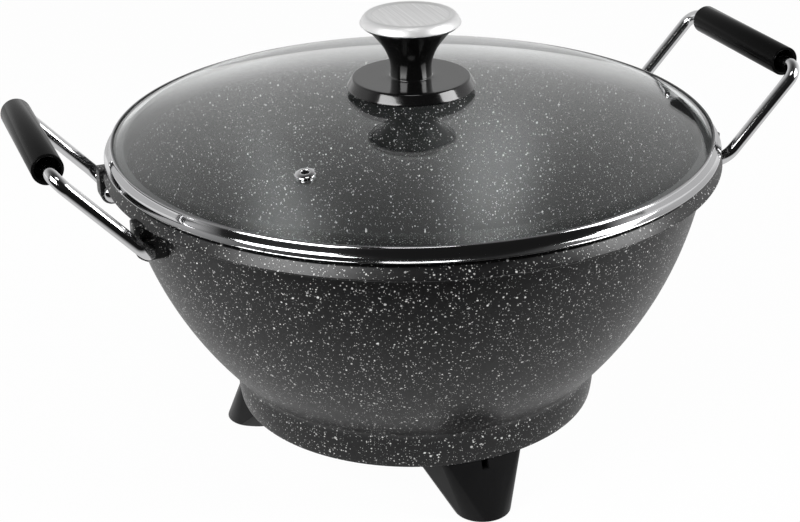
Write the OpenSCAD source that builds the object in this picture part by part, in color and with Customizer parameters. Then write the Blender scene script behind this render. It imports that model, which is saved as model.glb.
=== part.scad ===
// Electric wok: a cast bowl with its heater under the floor, three moulded legs,
// a domed glass lid in a rolled steel rim and two wire bail handles.
// Origin on the table under the bowl's axis. +X runs through the right handle,
// -Y is the front and +Z is up. Millimetres and degrees.

/* [Bowl] */
// Height of the rim's upper outer edge above the table
rim_height = 185.3; // [178:0.1:200]
// Outer radius of the rim band at its lower edge
rim_r = 176; // [160:0.5:194]
// How far the rim band stands out from the bowl wall
rim_overhang = 8; // [7:0.25:10]
// Height of the centre of the wall's curve above the rim
wall_curve_up = 23; // [15:1:30]
// Thickness of the cast wall
bowl_wall = 3.5; // [3:0.25:4.5]
// Thickness of the bowl's flat floor
floor_thick = 4.5; // [4.25:0.25:6]
// Height of the rim band's sloping outer face
rim_band = 5.6; // [4.5:0.1:6.5]
// How far the band's face leans in towards its top
rim_lean = 3.6; // [2:0.1:4]
// Height of the lid seat above the rim's outer edge
seat_rise = 1; // [0.5:0.25:2]

/* [Foot ring] */
// Outer radius of the foot ring under the bowl
ring_r = 107; // [104:0.5:112]
// Height at which the wall's curve would meet the foot ring, above its lower edge
ring_height = 20.4; // [18:0.1:24]
// Height of the foot ring's lower edge above the table
ring_bottom = 33; // [30:0.5:38]
// Wall thickness of the foot ring
ring_wall = 4; // [3:0.5:5]
// Depth of the hollow inside the foot ring, up to the floor's underside
base_depth = 6.3; // [6:0.1:7.5]
// Radius of the fillet between bowl and foot ring
cove_r = 8; // [4:0.5:9]
// How far the foot ring's face rounds in at its lower edge
ring_tuck = 1.2; // [0.6:0.1:2]

/* [Heater] */
// Radius of the heating element's loop
element_r = 62; // [56:1:70]
// Diameter of the element's metal sheath
element_d = 6.6; // [6:0.1:7]
// Radius of the bends where its ends turn out to the pins
element_bend_r = 12; // [8:0.5:16]
// Distance of the probe tube's closed end from the bowl's axis
probe_start = 42.5; // [30:0.5:50]
// Distance between the two terminal pins
pin_spacing = 22; // [20:0.5:24]
// Diameter of a terminal pin
pin_d = 4.8; // [4:0.1:5]
// Inner diameter of the thermostat probe's tube
probe_d = 6.6; // [6:0.1:7]
// Wall of the probe tube
probe_wall = 0.7; // [0.5:0.1:0.9]
// How far the connector housing stands out of the foot ring
socket_out = 24; // [18:1:30]
// Width of the connector housing
socket_w = 46; // [44:1:52]
// Height of the connector housing
socket_h = 17; // [16.5:0.5:19]
// Wall of the connector housing
socket_wall = 2.5; // [2:0.25:3]

/* [Legs] */
// Distance of a foot's centre from the bowl's axis
foot_centre = 100.5; // [96:0.5:104]
// Length of a foot along the radius
foot_len = 36.2; // [32:0.1:40]
// Width of a foot
foot_w = 32.6; // [28:0.1:38]
// Width of a leg's outer face where it meets the foot ring
leg_face_w = 49.6; // [44:0.1:56]
// Width of a leg's top at its wider inner end, under the base plate
leg_back_w = 69; // [60:0.5:74]
// Distance of the outer edge of that inner end from the bowl's axis
leg_back_r = 80; // [76:0.5:84]
// Distance of a leg's screw from the bowl's axis
leg_screw_r = 94; // [90:0.5:96]
// Diameter of a leg's screw
leg_screw_d = 5; // [4:0.5:6]

/* [Handles] */
// Drop of the handle's pivot below the rim's upper edge
pivot_drop = 18; // [16:0.5:22]
// Distance of the pivot inside the rim's greatest radius
pivot_inset = 8.1; // [6:0.1:9]
// Distance from the pivot to the grip's axis
handle_reach = 70.6; // [64:0.2:80]
// Angle of the handle above level when it rests on its stop
handle_tilt = 47.6; // [44:0.2:52]
// Distance between the two arms' centre lines
arm_spacing = 121; // [117:0.5:125]
// Diameter of the handle's wire
wire_d = 7.5; // [6.5:0.1:8]
// Radius of the bend beside a lug, on the wire's centre line
low_bend_r = 12; // [10:0.5:13]
// Radius of the bend beside the grip, on the wire's centre line
top_bend_r = 9; // [8:0.5:11]
// Length of the grip
grip_len = 92; // [84:0.5:96]
// Diameter of the grip
grip_d = 17; // [15:0.5:20]
// Length of a lug along the pivot
lug_len = 10.5; // [9:0.5:13]

/* [Lid] */
// How far the rim's rolled lower lip stays inside the bowl's rim
lip_inset = 1; // [0.25:0.25:2]
// Height of that lip's centre above the bowl's lid seat
lip_rise = 5.5; // [5:0.1:6.5]
// How far the lip stands out from the rim's upright band
lip_out = 3; // [2.25:0.25:3.5]
// Thickness of the rim's steel
rim_sheet = 0.9; // [0.7:0.1:1.1]
// Depth of the rim's inner skirt below the lid seat
lid_skirt = 4.5; // [3:0.25:8]
// Running gap between the inner skirt and the bowl
lid_gap = 0.8; // [0.5:0.1:1.2]
// Thickness of the glass
glass_thick = 4; // [3.5:0.25:4.5]
// Radius of the glass dome's sphere
dome_r = 670; // [640:5:760]
// Slope of the glass at its edge
edge_slope = 35; // [28:1:40]
// Radius of the bend from the dome to its edge
edge_bend_r = 30; // [20:1:40]
// Distance of the steam vent from the lid's axis
vent_r = 118; // [105:1:130]
// Direction of the steam vent round the lid
vent_angle = 221; // [210:1:235]
// Outer diameter of the vent's grommet
vent_d = 11.4; // [10:0.2:13]
// Direction of the seam in the rolled rim
seam_angle = 224; // [215:1:250]

/* [Knob] */
// Radius of the knob's round base
knob_base_r = 36.7; // [32:0.1:40]
// Height of that base at its edge
knob_base_h = 6.4; // [5:0.1:8]
// Radius of the knob's waist
waist_r = 11.6; // [10.5:0.1:14]
// Height of the knob from its seat to the under side of the flange
flange_rise = 35.3; // [32:0.1:40]
// Radius of the flange under the cap
flange_r = 27; // [25:0.1:30]
// Height of the steel cap above the flange's edge
cap_h = 5.2; // [4:0.1:6]
// Radius of the cap's brushed face
cap_face_r = 25.3; // [23:0.1:26]

/* [Hidden] */
$fn = 64;
// steps along a curve in a turned profile
arc_steps = 22;
small_steps = 6;
// clearances
fit = 0.05;       // a pin or shaft in its hole
gap = 0.3;        // pieces that must not touch
eps = 0.01;

// bowl
bowl_r = rim_r - rim_overhang;
wall_z = rim_height + wall_curve_up;
join_drop = wall_z - ring_bottom - ring_height;
wall_x = (bowl_r * bowl_r + wall_curve_up * wall_curve_up - ring_r * ring_r - join_drop * join_drop)
    / (2 * (bowl_r - ring_r));
wall_curve_r = sqrt(pow(bowl_r - wall_x, 2) + wall_curve_up * wall_curve_up);
seat_z = rim_height + seat_rise;
floor_under = ring_bottom + base_depth;
floor_top = floor_under + floor_thick;
rim_low = rim_height - rim_band;
edge_r = rim_r - rim_lean;
cove_x = ring_r + cove_r;
cove_span = wall_curve_r + cove_r;
cove_z = wall_z - sqrt(cove_span * cove_span - pow(cove_x - wall_x, 2));
cove_angle = asin((cove_z - wall_z) / cove_span);
under_angle = asin((rim_low - 3.5 - wall_z) / wall_curve_r);
inner_curve_r = wall_curve_r - bowl_wall;
inner_top_r = wall_x + sqrt(inner_curve_r * inner_curve_r - pow(seat_z - wall_z, 2));
ring_inner = ring_r - ring_wall;

// heater, on one level under the floor
probe_r = probe_d / 2;
tube_r = probe_r + probe_wall;
plate_thick = 0.8;
heater_z = ring_bottom + plate_thick + gap + tube_r;
bend_cx = pin_spacing / 2 + element_bend_r;
bend_cy = sqrt(pow(element_r + element_bend_r, 2) - bend_cx * bend_cx);
element_gap = asin(bend_cx / (element_r + element_bend_r));
sleeve = 0.25;
pin_y0 = ring_r - 3;
shroud_back = ring_r - 6.5;
shroud_end = ring_r + socket_out;
pin_end = shroud_end - 3;
bulkhead = 4;
insulator_r = 4.4;
pin_neck_r = pin_d / 2 - 0.3;
pin_step = shroud_back + bulkhead + 3;
pin_nose = 1.2;
ear_x = socket_w / 2 - 2;
ear_y = shroud_back - 5.5;
shroud_screw_d = 4;

// legs
leg_angles = [270, 150, 30];
leg_wall = 3;
foot_round = min(foot_len, foot_w) / 2 - 0.1;
face_round = 5;
back_round = 6;
tunnel_r = leg_screw_d;
screw_seat = ring_bottom - 1.8 * leg_screw_d;
boss_r = leg_screw_d / 2 + 4.5;

// handles
pivot_x = rim_r - pivot_inset;
pivot_z = rim_height - pivot_drop;
wire_r = wire_d / 2;
bore_r = wire_r + fit;
arm_y = arm_spacing / 2;
lug_wall = 2.8;
lug_r = bore_r + lug_wall;
lug_out = arm_y - low_bend_r - 1;
lug_in = lug_out - lug_len;
stop_len = 7;
pocket_up = bore_r + 0.8;
head_r = wire_r + 1.2;
head_len = 3.6;
cup_depth = 12;
cup_wall = 1.6;

// lid
lip_r = rim_r - lip_inset;
lid_band_r = lip_r - lip_out;
lip_z = seat_z + lip_rise;
lip_bead = 1.1;
glass_r = lid_band_r - rim_sheet - gap;
glass_edge_z = lip_z + 3.0;
bend_in = asin((glass_r - edge_bend_r * sin(edge_slope)) / (dome_r - edge_bend_r));
dome_drop = dome_r - (dome_r - edge_bend_r) * cos(bend_in) - edge_bend_r * cos(edge_slope);
glass_top = glass_edge_z + dome_drop;
dome_z = glass_top - dome_r;
bend_x = (dome_r - edge_bend_r) * sin(bend_in);
bend_z = dome_z + (dome_r - edge_bend_r) * cos(bend_in);
skirt_r = inner_top_r - lid_gap;
skirt_low = seat_z - lid_skirt;
vent_slope = asin(vent_r / dome_r);
vent_z = dome_z + sqrt(dome_r * dome_r - vent_r * vent_r);
vent_hole_r = 2.3;
vent_neck_r = vent_d / 2 - 1.7;

// knob, heights counted from the glass's crown
gasket_h = 0.8;
knob_z = glass_top + gasket_h;
knob_hole_r = 4.2;
under_z = glass_top - glass_thick - 0.1;
cap_edge = knob_z + flange_rise + 2;
cap_top = cap_edge + cap_h;
cap_sheet = 0.9;
insert_r = 4;
insert_len = 16;
knob_screw_r = 2.5;

// points along an arc in a turned profile
function arc(x, z, r, a0, a1, n) = [for (i = [0 : n]) let (a = a0 + (a1 - a0) * i / n) [x + r * cos(a), z + r * sin(a)]];
// radius of the glass's upper side's height at a distance from the axis
function dome_at(r) = dome_z + sqrt(dome_r * dome_r - r * r);

// ---------- bowl ----------

module bowl_outside() {
    ring_mid = ring_bottom + 12;
    rotate_extrude($fn = 128)
        polygon(concat(
            [[0, ring_bottom + eps], [0, rim_height - 30], [edge_r - 12, rim_height], [edge_r - 12, seat_z]],
            [[edge_r - 2.4, seat_z]],
            arc(edge_r - 1.2, rim_height - 0.4, 1.2, 80, 20, small_steps),
            arc(rim_r - 0.8, rim_low + 0.8, 0.8, 20, -80, small_steps),
            arc(bowl_r + 2.2, rim_low - 3.2, 2.6, 95, 180, small_steps),
            arc(wall_x, wall_z, wall_curve_r, under_angle, cove_angle, arc_steps),
            arc(cove_x, cove_z, cove_r, 180 + cove_angle, 180, small_steps),
            [[ring_r, ring_mid]],
            [for (i = [1 : small_steps]) let (t = i / small_steps)
                [ring_r - ring_tuck * t * t, ring_mid - (ring_mid - ring_bottom) * t]],
            [[0, ring_bottom]]));
}

module bowl_inside() {
    low = asin((floor_top - wall_z) / inner_curve_r);
    high = asin((seat_z + eps - wall_z) / inner_curve_r);
    rotate_extrude($fn = 128)
        polygon(concat(
            [[0, floor_top], [0, seat_z + 5], [inner_top_r + 1, seat_z + 5]],
            arc(wall_x, wall_z, inner_curve_r, high, low, arc_steps)));
}

// One cast lug on the +Y side of the right handle, with its bore, core pocket and stop
module lug_solid() {
    translate([pivot_x, lug_in, pivot_z]) {
        rotate([-90, 0, 0])
            cylinder(r = lug_r, h = lug_len);
        translate([-24, 0, -lug_r])
            cube([24, lug_len, lug_r]);
        translate([-24, 0, 0])
            cube([24 + lug_r, lug_len, pivot_drop - 3.5]);
    }
    // stop under the wire's bend
    intersection() {
        translate([pivot_x, lug_out - 1, pivot_z])
            rotate([-90, 0, 0])
                cylinder(r = lug_r, h = stop_len + 1);
        translate([pivot_x, lug_out - 1, pivot_z])
            rotate([0, -handle_tilt, 0])
                translate([-lug_r, 0, -2 * lug_r])
                    cube([2 * lug_r, stop_len + 1, 2 * lug_r - wire_r - gap]);
    }
}

module lug_cuts() {
    translate([pivot_x, lug_in - 1, pivot_z])
        rotate([-90, 0, 0])
            cylinder(r = bore_r, h = lug_len + 2);
    // pocket cored into the outer end
    translate([pivot_x - wire_r - 0.4, lug_out - 4.5, pivot_z + pocket_up])
        cube([2 * wire_r + 0.4, 6, pivot_drop - rim_band - 1 - pocket_up]);
}

module all_lugs() {
    for (side = [0, 1])
        mirror([side, 0, 0])
            for (end = [0, 1])
                mirror([0, end, 0])
                    children();
}

module wok_bowl() {
    color([0.16, 0.16, 0.17])
    difference() {
        union() {
            difference() {
                union() {
                    bowl_outside();
                    all_lugs() lug_solid();
                }
                bowl_inside();
                // hollow inside the foot ring
                translate([0, 0, ring_bottom - 1])
                    cylinder(r = ring_inner, h = base_depth + 1, $fn = 128);
            }
            // bosses for the legs' screws
            for (a = leg_angles)
                rotate([0, 0, a])
                    translate([leg_screw_r, 0, ring_bottom + plate_thick])
                        cylinder(r = boss_r, h = base_depth - plate_thick + eps);
            // rib that holds the heating element
            difference() {
                translate([0, 0, heater_z - 0.6])
                    cylinder(r = element_r + 5.5, h = floor_under - heater_z + 0.6 + eps, $fn = 96);
                translate([0, 0, heater_z - 1])
                    cylinder(r = element_r - 5.5, h = floor_under - heater_z + 2, $fn = 96);
                translate([-bend_cx - 2, 0, heater_z - 1])
                    cube([2 * bend_cx + 4, element_r + 10, floor_under - heater_z + 1]);
            }
        }
        all_lugs() lug_cuts();
        element_shape(element_d / 2 + fit);
        // room for the pins' roots and for the ears of the connector housing
        for (s = [-1, 1])
            translate([s * pin_spacing / 2, shroud_back - 3, heater_z])
                rotate([-90, 0, 0])
                    cylinder(r = element_d / 2 + 2 * sleeve + fit, h = 5);
        translate([-ear_x - 4.5 - gap, shroud_back - 4, ring_bottom - 1])
            cube([2 * ear_x + 9 + 2 * gap, 4 + gap, base_depth + 1]);
        // groove for the probe tube
        translate([0, probe_start - 0.5, heater_z])
            rotate([-90, 0, 0])
                cylinder(r = tube_r + fit, h = ring_r);
        // window in the foot ring for the connector housing
        translate([-socket_w / 2 - gap, shroud_back - gap, ring_bottom - 1])
            cube([socket_w + 2 * gap, 20, heater_z + socket_h / 2 + gap - ring_bottom + 1]);
        for (a = leg_angles)
            rotate([0, 0, a])
                translate([leg_screw_r, 0, ring_bottom])
                    cylinder(r = leg_screw_d / 2 + fit, h = base_depth + 3);
        for (s = [-1, 1])
            translate([s * ear_x, ear_y, floor_under - 1])
                cylinder(r = shroud_screw_d / 2 + fit, h = 4.2);
    }
}

// ---------- heater and connector ----------

// A loop open at the back, whose sleeved ends bend outwards to the connector
module element_shape(r) {
    translate([0, 0, heater_z]) {
        rotate([0, 0, 90 + element_gap])
            rotate_extrude(angle = 360 - 2 * element_gap, $fn = 96)
                translate([element_r, 0])
                    circle(r = r, $fn = 32);
        for (side = [0, 1])
            mirror([side, 0, 0]) {
                translate([bend_cx, bend_cy, 0])
                    rotate([0, 0, 180])
                        rotate_extrude(angle = 91 - element_gap, $fn = 96)
                            translate([element_bend_r, 0])
                                circle(r = r + sleeve, $fn = 32);
                translate([pin_spacing / 2, bend_cy - 0.5, 0])
                    rotate([-90, 0, 0])
                        cylinder(r = r + 2 * sleeve, h = shroud_back - 0.5 - bend_cy, $fn = 32);
            }
    }
}

module heating_element() {
    color([0.45, 0.45, 0.46])
    element_shape(element_d / 2);
}

// Each pin has a neck in its bead and a thicker contact length in front of it
module terminal_pins() {
    color([0.78, 0.78, 0.76])
    for (s = [-1, 1])
        translate([s * pin_spacing / 2, shroud_back - 1, heater_z])
            rotate([-90, 0, 0]) {
                cylinder(r = pin_neck_r, h = pin_step - shroud_back + 1 + eps);
                translate([0, 0, pin_step - shroud_back + 1])
                    cylinder(r = pin_d / 2, h = pin_end - pin_step - pin_nose);
                translate([0, 0, pin_end - shroud_back + 1 - pin_nose])
                    cylinder(r1 = pin_d / 2, r2 = pin_d / 2 - 0.8, h = pin_nose);
            }
}

module terminal_insulators() {
    color([0.9, 0.88, 0.83])
    for (s = [-1, 1])
        translate([s * pin_spacing / 2, shroud_back, heater_z])
            rotate([-90, 0, 0])
                difference() {
                    union() {
                        cylinder(r = insulator_r, h = bulkhead + 2.5);
                        translate([0, 0, bulkhead])
                            cylinder(r = insulator_r + 0.9, h = 1.2);
                    }
                    translate([0, 0, -1])
                        cylinder(r = pin_neck_r + fit, h = bulkhead + 5);
                }
}

module probe_tube() {
    color([0.7, 0.7, 0.7])
    translate([0, probe_start, heater_z])
        rotate([-90, 0, 0])
            difference() {
                cylinder(r = tube_r, h = shroud_back + bulkhead + 4.5 - probe_start);
                translate([0, 0, 1.5])
                    cylinder(r = probe_r, h = ring_r);
            }
}

module earth_contact() {
    z0 = heater_z + tube_r + gap;
    color([0.8, 0.66, 0.3])
    translate([-3, shroud_back + bulkhead, 0]) {
        translate([0, 0, z0])
            cube([6, 0.6, heater_z + socket_h / 2 - socket_wall - gap - z0]);
        translate([0, 0, z0 + 0.6])
            cube([6, 10, 0.6]);
    }
}

module connector_shroud() {
    z0 = heater_z - socket_h / 2;
    color([0.08, 0.08, 0.08])
    difference() {
        union() {
            translate([-socket_w / 2, shroud_back, z0])
                cube([socket_w, shroud_end - shroud_back, socket_h]);
            for (s = [-1, 1])
                translate([s * ear_x - 4.5, ear_y - 5, heater_z - 2.6])
                    cube([9, shroud_back - ear_y + 5 + eps, floor_under - heater_z + 2.6]);
        }
        translate([-socket_w / 2 + socket_wall, shroud_back + bulkhead, z0 + socket_wall])
            cube([socket_w - 2 * socket_wall, socket_out + 20, socket_h - 2 * socket_wall]);
        for (s = [-1, 1]) {
            translate([s * pin_spacing / 2, shroud_back - 1, heater_z])
                rotate([-90, 0, 0])
                    cylinder(r = insulator_r + fit, h = bulkhead + 2);
            translate([s * ear_x, ear_y, heater_z - 4])
                cylinder(r = shroud_screw_d / 2 + 0.2, h = 9);
        }
        translate([0, shroud_back - 1, heater_z])
            rotate([-90, 0, 0])
                cylinder(r = tube_r + fit, h = bulkhead + 2);
    }
}

// A pan-headed screw that points up, with its seat at z = 0
module pan_screw(d, h) {
    translate([0, 0, -0.55 * d])
        difference() {
            cylinder(r = 0.9 * d, h = 0.55 * d);
            for (a = [0, 90])
                rotate([0, 0, a])
                    translate([-0.55 * d, -0.09 * d, -1])
                        cube([1.1 * d, 0.18 * d, 1 + 0.3 * d]);
        }
    cylinder(r = d / 2, h = h);
}

module shroud_screws() {
    color([0.72, 0.72, 0.74])
    for (s = [-1, 1])
        translate([s * ear_x, ear_y, heater_z - 2.6])
            pan_screw(shroud_screw_d, floor_under - heater_z + 2.6 + 2.8);
}

// ---------- base ----------

module base_plate() {
    color([0.7, 0.7, 0.72])
    translate([0, 0, ring_bottom])
        difference() {
            cylinder(r = ring_inner - gap, h = plate_thick, $fn = 128);
            for (a = leg_angles)
                rotate([0, 0, a])
                    translate([leg_screw_r, 0, -1])
                        cylinder(r = leg_screw_d / 2 + 0.3, h = 3);
            translate([-socket_w / 2 - 4, ear_y - 6, -1])
                cube([socket_w + 8, 40, 3]);
            // vents
            for (a = [0 : 45 : 315])
                rotate([0, 0, a + 22.5])
                    translate([28, -1.5, -1])
                        cube([18, 3, 3]);
        }
}

// A leg's sole, an oval with a small edge
module foot_slice(inset) {
    for (sx = [-1, 1])
        for (sy = [-1, 1])
            translate([foot_centre + sx * (foot_len / 2 - foot_round), sy * (foot_w / 2 - foot_round), inset])
                cylinder(r1 = foot_round - inset - 0.5, r2 = foot_round - inset, h = 0.6, $fn = 48);
}

// The top of a leg: its outer face follows the foot ring and it widens inwards
module top_slice(inset, h) {
    outer = ring_r - ring_tuck;
    half = asin((leg_face_w / 2 - face_round) / (outer - face_round));
    for (a = [-half, -half / 2, 0, half / 2, half])
        rotate([0, 0, a])
            translate([outer - face_round, 0, 0])
                cylinder(r = face_round - inset, h = h, $fn = 32);
    for (s = [-1, 1])
        translate([leg_back_r - back_round, s * (leg_back_w / 2 - back_round), 0])
            cylinder(r = back_round - inset, h = h, $fn = 32);
}

module leg_body(inset, lift) {
    hull() {
        translate([0, 0, ring_bottom - 1])
            top_slice(inset, 1 + lift);
        foot_slice(inset);
    }
}

module leg() {
    color([0.09, 0.09, 0.095])
    difference() {
        leg_body(0, 0);
        // hollow, open towards the bowl, round a post for the screw
        difference() {
            leg_body(leg_wall, eps);
            translate([leg_screw_r, 0, 0])
                cylinder(r = tunnel_r + 2.4, h = ring_bottom + 1);
        }
        translate([leg_screw_r, 0, -1])
            cylinder(r = tunnel_r, h = screw_seat + 1);
        translate([leg_screw_r, 0, 0])
            cylinder(r = leg_screw_d / 2 + 0.2, h = ring_bottom + 1);
        // drain notch in the outer top edge
        translate([ring_r - ring_tuck - 4, -2, ring_bottom - 5])
            cube([8, 4, 6]);
    }
}

module leg_front() {
    rotate([0, 0, leg_angles[0]]) leg();
}

module leg_rear_left() {
    rotate([0, 0, leg_angles[1]]) leg();
}

module leg_rear_right() {
    rotate([0, 0, leg_angles[2]]) leg();
}

module leg_screws() {
    color([0.72, 0.72, 0.74])
    for (a = leg_angles)
        rotate([0, 0, a])
            translate([leg_screw_r, 0, screw_seat])
                pan_screw(leg_screw_d, ring_bottom - screw_seat + base_depth + 2);
}

// ---------- handles ----------

// The right handle's wire, with the pivot along Y through the origin and the arms along +X
module bail_wire() {
    for (side = [0, 1])
        mirror([0, side, 0]) {
            // arm
            translate([low_bend_r, arm_y, 0])
                rotate([0, 90, 0])
                    cylinder(r = wire_r, h = handle_reach - low_bend_r - top_bend_r, $fn = 48);
            // bend beside the lug
            translate([low_bend_r, arm_y - low_bend_r, 0])
                rotate([0, 0, 90])
                    rotate_extrude(angle = 90, $fn = 96)
                        translate([low_bend_r, 0])
                            circle(r = wire_r, $fn = 48);
            // pin through the lug, with its upset head
            translate([0, arm_y - low_bend_r, 0])
                rotate([90, 0, 0])
                    cylinder(r = wire_r, h = lug_len + 1 + gap + head_len - 1.5, $fn = 48);
            translate([0, lug_in - gap, 0])
                rotate([90, 0, 0])
                    rotate_extrude($fn = 48)
                        polygon(concat([[0, 0], [head_r, 0], [head_r, 0.8]],
                            [for (i = [1 : small_steps]) let (a = 90 * i / small_steps)
                                [head_r * cos(a), 0.8 + (head_len - 0.8) * sin(a)]]));
            // bend beside the grip
            translate([handle_reach - top_bend_r, arm_y - top_bend_r, 0])
                rotate_extrude(angle = 90, $fn = 96)
                    translate([top_bend_r, 0])
                        circle(r = wire_r, $fn = 48);
        }
    // bar inside the grip
    translate([handle_reach, arm_y - top_bend_r, 0])
        rotate([90, 0, 0])
            cylinder(r = wire_r, h = 2 * (arm_y - top_bend_r), $fn = 48);
}

module bail_grip() {
    translate([handle_reach, 0, 0])
        rotate([90, 0, 0])
            difference() {
                rotate_extrude($fn = 64)
                    polygon(concat([[0, -grip_len / 2], [grip_d / 2 - 0.8, -grip_len / 2]],
                        arc(grip_d / 2 - 0.8, -grip_len / 2 + 0.8, 0.8, -90, 0, 4),
                        arc(grip_d / 2 - 0.8, grip_len / 2 - 0.8, 0.8, 0, 90, 4),
                        [[0, grip_len / 2]]));
                translate([0, 0, -grip_len])
                    cylinder(r = bore_r, h = 2 * grip_len);
                for (s = [-1, 1])
                    translate([0, 0, s * grip_len / 2 - cup_depth])
                        cylinder(r = grip_d / 2 - cup_wall, h = 2 * cup_depth);
            }
}

module on_pivot() {
    translate([pivot_x, 0, pivot_z])
        rotate([0, -handle_tilt, 0])
            children();
}

module handle_right() {
    color([0.85, 0.85, 0.87]) on_pivot() bail_wire();
}

module handle_left() {
    color([0.85, 0.85, 0.87]) rotate([0, 0, 180]) on_pivot() bail_wire();
}

module grip_right() {
    color([0.05, 0.05, 0.05]) on_pivot() bail_grip();
}

module grip_left() {
    color([0.05, 0.05, 0.05]) rotate([0, 0, 180]) on_pivot() bail_grip();
}

// ---------- lid ----------

module lid_glass() {
    under = edge_bend_r - glass_thick;
    color([0.75, 0.8, 0.82, 0.4])
    difference() {
        rotate_extrude($fn = 128)
            polygon(concat(
                arc(0, dome_z, dome_r, 90, 90 - bend_in, arc_steps),
                arc(bend_x, bend_z, edge_bend_r, 90 - bend_in, 90 - edge_slope, small_steps),
                arc(bend_x, bend_z, under, 90 - edge_slope, 90 - bend_in, small_steps),
                arc(0, dome_z, dome_r - glass_thick, 90 - bend_in, 90, arc_steps)));
        translate([0, 0, glass_top - 20])
            cylinder(r = knob_hole_r, h = 40);
        vent_frame()
            translate([0, 0, -10])
                cylinder(r = vent_neck_r + gap, h = 20);
    }
}

// Puts its children on the glass at the vent, square to the surface
module vent_frame() {
    rotate([0, 0, vent_angle])
        translate([vent_r, 0, vent_z])
            rotate([0, vent_slope, 0])
                children();
}

module lid_rim() {
    in_r = glass_r - 5;
    shelf = glass_edge_z - glass_thick * cos(edge_slope) - fit - rim_sheet;
    wall_in = lid_band_r - rim_sheet;
    color([0.82, 0.83, 0.85])
    difference() {
        rotate_extrude($fn = 128) {
            // rolled lower lip
            translate([lip_r - lip_bead, lip_z])
                circle(r = lip_bead, $fn = 24);
            polygon([[wall_in, shelf], [lip_r - lip_bead, lip_z - lip_bead * 0.9],
                [lip_r - lip_bead, lip_z + lip_bead * 0.9], [lid_band_r - 0.2, lip_z + 0.8], [wall_in, lip_z + 0.8]]);
            // upright band, turned in over the edge of the glass
            polygon([[wall_in, shelf], [lid_band_r, shelf], [lid_band_r, glass_edge_z + 0.4],
                [lid_band_r - 0.4, glass_edge_z + 0.9], [glass_r - 0.9, glass_edge_z + 1.6],
                [glass_r - 1.2, glass_edge_z + 1.1], [wall_in, glass_edge_z + 0.4]]);
            // shelf under the glass, foot on the seat and inner skirt
            translate([in_r, shelf])
                square([wall_in - in_r + eps, rim_sheet]);
            translate([edge_r - 5.4, seat_z])
                square([rim_sheet * 2, shelf - seat_z + eps]);
            polygon([[skirt_r - rim_sheet - 1, skirt_low], [skirt_r - 1, skirt_low], [skirt_r, shelf],
                [in_r + eps, shelf], [in_r + eps, shelf + rim_sheet], [skirt_r - rim_sheet, shelf + rim_sheet]]);
        }
        // seam where the ends of the rolled strip meet
        rotate([0, 0, seam_angle])
            translate([lip_r - 1.6, -0.4, lip_z - 3])
                cube([4, 0.8, 6]);
    }
}

module vent_grommet() {
    color([0.8, 0.81, 0.83])
    vent_frame()
        difference() {
            union() {
                // flange above the glass, neck, and the rolled edge below
                rotate_extrude($fn = 48)
                    polygon([[0, 0.25], [vent_d / 2, 0.25], [vent_d / 2 - 0.5, 1.0], [vent_hole_r + 1.2, 1.5], [0, 1.5]]);
                translate([0, 0, -glass_thick - 1.1])
                    cylinder(r = vent_neck_r, h = glass_thick + 2);
                translate([0, 0, -glass_thick - 1.3])
                    cylinder(r = vent_neck_r + 1.2, h = 1);
            }
            translate([0, 0, -10])
                cylinder(r = vent_hole_r, h = 20);
        }
}

// ---------- knob ----------

module knob() {
    waist = knob_z + 8.2;
    under = knob_z + flange_rise;
    flare = flange_r - 2.5 - waist_r;
    rise = under - waist;
    color([0.02, 0.02, 0.02])
    difference() {
        rotate_extrude($fn = 96)
            polygon(concat(
                [[0, knob_z], [knob_base_r - 1, knob_z]],
                arc(knob_base_r - 0.8, knob_z + 0.8, 0.8, -60, 0, 3),
                arc(knob_base_r - 1.6, knob_z + knob_base_h - 1, 1.0, 0, 110, 4),
                // dished top, blended into the stem
                [for (i = [0 : small_steps]) let (t = i / small_steps)
                    [knob_base_r - 4 - (knob_base_r - 4 - waist_r - 3.2) * t, knob_z + knob_base_h - 0.6 - 3.4 * t * (2 - t) * 0.9]],
                arc(waist_r + 3.4, knob_z + 6.2, 3.4, 262, 180, 4),
                [for (i = [0 : 12]) let (t = i / 12) [waist_r + flare * pow(t, 2.1), waist + rise * t]],
                [[flange_r, under + 0.8], [flange_r, cap_edge - 0.4], [flange_r - 3, cap_edge - 0.1]],
                [[cap_face_r - 2.2, cap_top - cap_sheet - 0.9], [0, cap_top - cap_sheet - 0.9]]));
        translate([0, 0, knob_z - 1])
            cylinder(r = insert_r + fit, h = insert_len + 1.3);
    }
}

module knob_cap() {
    color([0.8, 0.8, 0.8])
    rotate_extrude($fn = 96)
        polygon([[0, cap_top - 0.8], [cap_face_r - 4, cap_top - 0.8], [cap_face_r - 2.8, cap_top - 0.1],
            [cap_face_r - 0.6, cap_top], [cap_face_r, cap_top - 0.3], [flange_r + 1.5, cap_edge + 0.6],
            [flange_r + 1.5, cap_edge], [flange_r + 1, cap_edge - 0.4], [flange_r + 0.2, cap_edge - 0.2],
            [flange_r + 0.2, cap_edge + 0.1], [cap_face_r - 1.4, cap_top - cap_sheet - 0.6],
            [0, cap_top - cap_sheet - 0.8]]);
}

module knob_insert() {
    color([0.78, 0.62, 0.3])
    translate([0, 0, knob_z])
        difference() {
            cylinder(r = insert_r, h = insert_len);
            translate([0, 0, -1])
                cylinder(r = knob_screw_r + fit, h = insert_len - 1);
        }
}

module knob_screw() {
    z0 = under_z - gasket_h - 1.2;
    color([0.72, 0.72, 0.74])
    translate([0, 0, z0])
        pan_screw(2 * knob_screw_r, knob_z + 12 - z0);
}

module knob_washer() {
    color([0.75, 0.75, 0.77])
    translate([0, 0, under_z - gasket_h - 1.2])
        difference() {
            cylinder(r = 9, h = 1.2);
            translate([0, 0, -1])
                cylinder(r = knob_screw_r + 0.2, h = 4);
        }
}

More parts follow.
